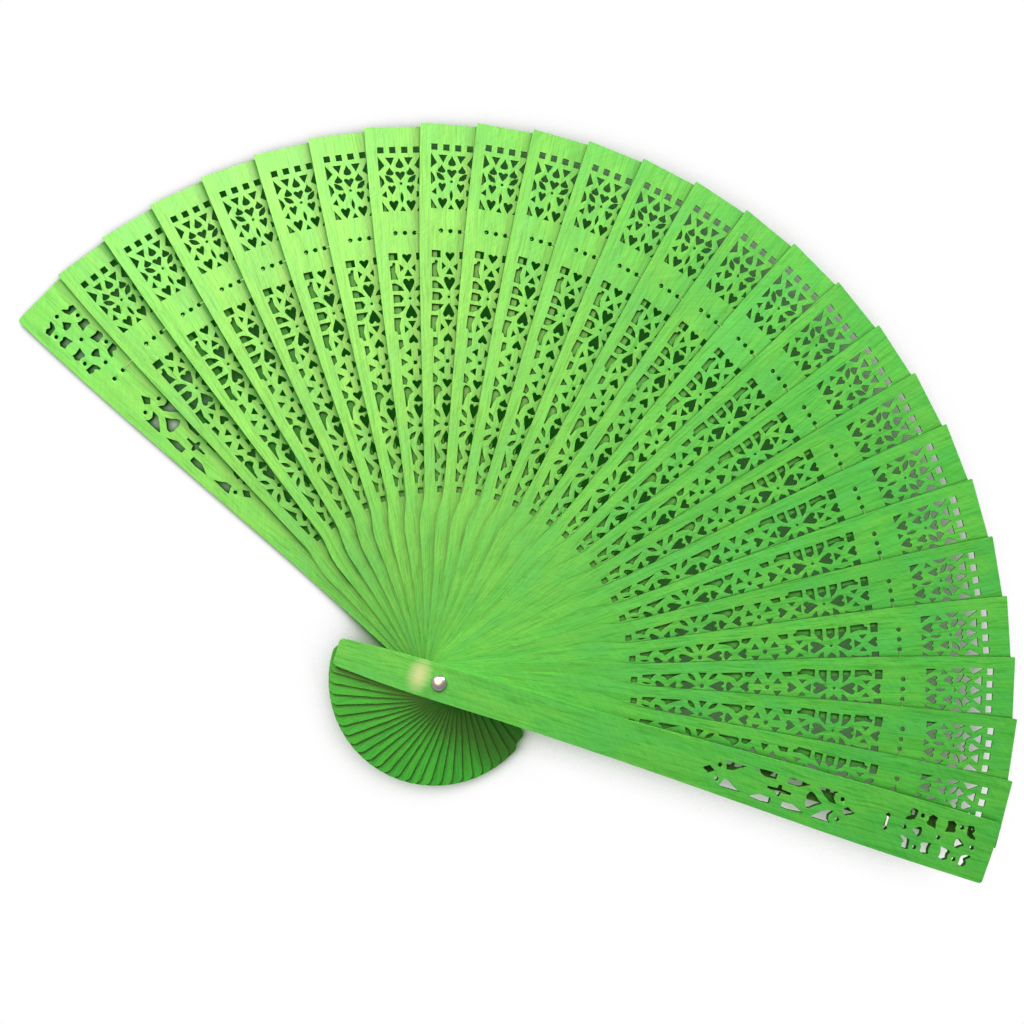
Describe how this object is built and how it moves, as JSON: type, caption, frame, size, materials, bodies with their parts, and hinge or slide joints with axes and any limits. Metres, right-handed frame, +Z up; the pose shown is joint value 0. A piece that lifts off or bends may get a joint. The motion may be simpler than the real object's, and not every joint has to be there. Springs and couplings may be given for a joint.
{
  "type": "folding hand fan",
  "caption": "Open brise hand fan: pierced wooden sticks and two guards turn on one rivet, are strung on a thread near their tips, and close into a narrow bundle.",
  "frame": {"origin": "on the rivet's axis, level with the back guard's underside, which lies on the table", "axes": "+Z up along the rivet, +Y through the middle of the open spread, +X towards the front guard's side"},
  "size_m": [0.3255, 0.1984, 0.0212],
  "materials": {
    "stick_wood": "matt dyed veneer",
    "guard_wood": "satin dyed wood",
    "rivet_metal": "satin nickel plate",
    "nylon_thread": "translucent nylon",
    "stitch_thread": "twisted white thread"
  },
  "bodies": {
    "back_guard": {"back_guard": "guard_wood", "rivet": "rivet_metal", "rivet_cap": "rivet_metal", "thread_00": "nylon_thread"},
    "stick_01": {"stick_01": "stick_wood", "thread_01": "nylon_thread"},
    "stick_02": {"stick_02": "stick_wood", "thread_02": "nylon_thread"},
    "stick_03": {"stick_03": "stick_wood", "thread_03": "nylon_thread"},
    "stick_04": {"stick_04": "stick_wood", "thread_04": "nylon_thread"},
    "stick_05": {"stick_05": "stick_wood", "thread_05": "nylon_thread"},
    "stick_06": {"stick_06": "stick_wood", "thread_06": "nylon_thread"},
    "stick_07": {"stick_07": "stick_wood", "thread_07": "nylon_thread"},
    "stick_08": {"stick_08": "stick_wood", "thread_08": "nylon_thread"},
    "stick_09": {"stick_09": "stick_wood", "thread_09": "nylon_thread"},
    "stick_10": {"stick_10": "stick_wood", "thread_10": "nylon_thread"},
    "stick_11": {"stick_11": "stick_wood", "thread_11": "nylon_thread"},
    "stick_12": {"stick_12": "stick_wood", "thread_12": "nylon_thread"},
    "stick_13": {"stick_13": "stick_wood", "thread_13": "nylon_thread"},
    "stick_14": {"stick_14": "stick_wood", "thread_14": "nylon_thread"},
    "stick_15": {"stick_15": "stick_wood", "thread_15": "nylon_thread"},
    "stick_16": {"stick_16": "stick_wood", "thread_16": "nylon_thread"},
    "stick_17": {"stick_17": "stick_wood", "thread_17": "nylon_thread"},
    "stick_18": {"stick_18": "stick_wood", "thread_18": "nylon_thread"},
    "stick_19": {"stick_19": "stick_wood", "thread_19": "nylon_thread"},
    "stick_20": {"stick_20": "stick_wood", "thread_20": "nylon_thread"},
    "stick_21": {"stick_21": "stick_wood", "thread_21": "nylon_thread"},
    "stick_22": {"stick_22": "stick_wood", "thread_22": "nylon_thread"},
    "stick_23": {"stick_23": "stick_wood", "thread_23": "nylon_thread"},
    "stick_24": {"stick_24": "stick_wood", "thread_24": "nylon_thread"},
    "stick_25": {"stick_25": "stick_wood", "thread_25": "nylon_thread"},
    "front_guard": {"front_guard": "guard_wood", "guard_stitch": "stitch_thread"}
  },
  "joints": [
    {"name": "front_guard_turn", "type": "hinge", "parent": "back_guard", "child": "front_guard", "pos_m": [0, 0, 0], "axis": [0, 0, 1], "range_deg": [0, 154.4]},
    {"name": "stick_01_turn", "type": "hinge", "parent": "back_guard", "child": "stick_01", "pos_m": [0, 0, 0], "axis": [0, 0, 1], "range_deg": [0, 6.56]},
    {"name": "stick_02_turn", "type": "hinge", "parent": "back_guard", "child": "stick_02", "pos_m": [0, 0, 0], "axis": [0, 0, 1], "range_deg": [0, 12.57]},
    {"name": "stick_03_turn", "type": "hinge", "parent": "back_guard", "child": "stick_03", "pos_m": [0, 0, 0], "axis": [0, 0, 1], "range_deg": [0, 18.56]},
    {"name": "stick_04_turn", "type": "hinge", "parent": "back_guard", "child": "stick_04", "pos_m": [0, 0, 0], "axis": [0, 0, 1], "range_deg": [0, 24.52]},
    {"name": "stick_05_turn", "type": "hinge", "parent": "back_guard", "child": "stick_05", "pos_m": [0, 0, 0], "axis": [0, 0, 1], "range_deg": [0, 30.46]},
    {"name": "stick_06_turn", "type": "hinge", "parent": "back_guard", "child": "stick_06", "pos_m": [0, 0, 0], "axis": [0, 0, 1], "range_deg": [0, 36.38]},
    {"name": "stick_07_turn", "type": "hinge", "parent": "back_guard", "child": "stick_07", "pos_m": [0, 0, 0], "axis": [0, 0, 1], "range_deg": [0, 42.28]},
    {"name": "stick_08_turn", "type": "hinge", "parent": "back_guard", "child": "stick_08", "pos_m": [0, 0, 0], "axis": [0, 0, 1], "range_deg": [0, 48.17]},
    {"name": "stick_09_turn", "type": "hinge", "parent": "back_guard", "child": "stick_09", "pos_m": [0, 0, 0], "axis": [0, 0, 1], "range_deg": [0, 54.07]},
    {"name": "stick_10_turn", "type": "hinge", "parent": "back_guard", "child": "stick_10", "pos_m": [0, 0, 0], "axis": [0, 0, 1], "range_deg": [0, 59.96]},
    {"name": "stick_11_turn", "type": "hinge", "parent": "back_guard", "child": "stick_11", "pos_m": [0, 0, 0], "axis": [0, 0, 1], "range_deg": [0, 65.86]},
    {"name": "stick_12_turn", "type": "hinge", "parent": "back_guard", "child": "stick_12", "pos_m": [0, 0, 0], "axis": [0, 0, 1], "range_deg": [0, 71.78]},
    {"name": "stick_13_turn", "type": "hinge", "parent": "back_guard", "child": "stick_13", "pos_m": [0, 0, 0], "axis": [0, 0, 1], "range_deg": [0, 77.72]},
    {"name": "stick_14_turn", "type": "hinge", "parent": "back_guard", "child": "stick_14", "pos_m": [0, 0, 0], "axis": [0, 0, 1], "range_deg": [0, 83.68]},
    {"name": "stick_15_turn", "type": "hinge", "parent": "back_guard", "child": "stick_15", "pos_m": [0, 0, 0], "axis": [0, 0, 1], "range_deg": [0, 89.67]},
    {"name": "stick_16_turn", "type": "hinge", "parent": "back_guard", "child": "stick_16", "pos_m": [0, 0, 0], "axis": [0, 0, 1], "range_deg": [0, 95.68]},
    {"name": "stick_17_turn", "type": "hinge", "parent": "back_guard", "child": "stick_17", "pos_m": [0, 0, 0], "axis": [0, 0, 1], "range_deg": [0, 101.72]},
    {"name": "stick_18_turn", "type": "hinge", "parent": "back_guard", "child": "stick_18", "pos_m": [0, 0, 0], "axis": [0, 0, 1], "range_deg": [0, 107.78]},
    {"name": "stick_19_turn", "type": "hinge", "parent": "back_guard", "child": "stick_19", "pos_m": [0, 0, 0], "axis": [0, 0, 1], "range_deg": [0, 113.86]},
    {"name": "stick_20_turn", "type": "hinge", "parent": "back_guard", "child": "stick_20", "pos_m": [0, 0, 0], "axis": [0, 0, 1], "range_deg": [0, 119.96]},
    {"name": "stick_21_turn", "type": "hinge", "parent": "back_guard", "child": "stick_21", "pos_m": [0, 0, 0], "axis": [0, 0, 1], "range_deg": [0, 126.07]},
    {"name": "stick_22_turn", "type": "hinge", "parent": "back_guard", "child": "stick_22", "pos_m": [0, 0, 0], "axis": [0, 0, 1], "range_deg": [0, 132.17]},
    {"name": "stick_23_turn", "type": "hinge", "parent": "back_guard", "child": "stick_23", "pos_m": [0, 0, 0], "axis": [0, 0, 1], "range_deg": [0, 138.28]},
    {"name": "stick_24_turn", "type": "hinge", "parent": "back_guard", "child": "stick_24", "pos_m": [0, 0, 0], "axis": [0, 0, 1], "range_deg": [0, 144.38]},
    {"name": "stick_25_turn", "type": "hinge", "parent": "back_guard", "child": "stick_25", "pos_m": [0, 0, 0], "axis": [0, 0, 1], "range_deg": [0, 150.46]}
  ],
  "couplings": [
    {"joint": "stick_01_turn", "follows": "front_guard_turn", "ratio": 0.042338},
    {"joint": "stick_02_turn", "follows": "front_guard_turn", "ratio": 0.081282},
    {"joint": "stick_03_turn", "follows": "front_guard_turn", "ratio": 0.12006},
    {"joint": "stick_04_turn", "follows": "front_guard_turn", "ratio": 0.15867},
    {"joint": "stick_05_turn", "follows": "front_guard_turn", "ratio": 0.19713},
    {"joint": "stick_06_turn", "follows": "front_guard_turn", "ratio": 0.23546},
    {"joint": "stick_07_turn", "follows": "front_guard_turn", "ratio": 0.2737},
    {"joint": "stick_08_turn", "follows": "front_guard_turn", "ratio": 0.31188},
    {"joint": "stick_09_turn", "follows": "front_guard_turn", "ratio": 0.35004},
    {"joint": "stick_10_turn", "follows": "front_guard_turn", "ratio": 0.38821},
    {"joint": "stick_11_turn", "follows": "front_guard_turn", "ratio": 0.42645},
    {"joint": "stick_12_turn", "follows": "front_guard_turn", "ratio": 0.46479},
    {"joint": "stick_13_turn", "follows": "front_guard_turn", "ratio": 0.50325},
    {"joint": "stick_14_turn", "follows": "front_guard_turn", "ratio": 0.54186},
    {"joint": "stick_15_turn", "follows": "front_guard_turn", "ratio": 0.58064},
    {"joint": "stick_16_turn", "follows": "front_guard_turn", "ratio": 0.61958},
    {"joint": "stick_17_turn", "follows": "front_guard_turn", "ratio": 0.65869},
    {"joint": "stick_18_turn", "follows": "front_guard_turn", "ratio": 0.69795},
    {"joint": "stick_19_turn", "follows": "front_guard_turn", "ratio": 0.73733},
    {"joint": "stick_20_turn", "follows": "front_guard_turn", "ratio": 0.77682},
    {"joint": "stick_21_turn", "follows": "front_guard_turn", "ratio": 0.81636},
    {"joint": "stick_22_turn", "follows": "front_guard_turn", "ratio": 0.85592},
    {"joint": "stick_23_turn", "follows": "front_guard_turn", "ratio": 0.89546},
    {"joint": "stick_24_turn", "follows": "front_guard_turn", "ratio": 0.93495},
    {"joint": "stick_25_turn", "follows": "front_guard_turn", "ratio": 0.97433}
  ]
}
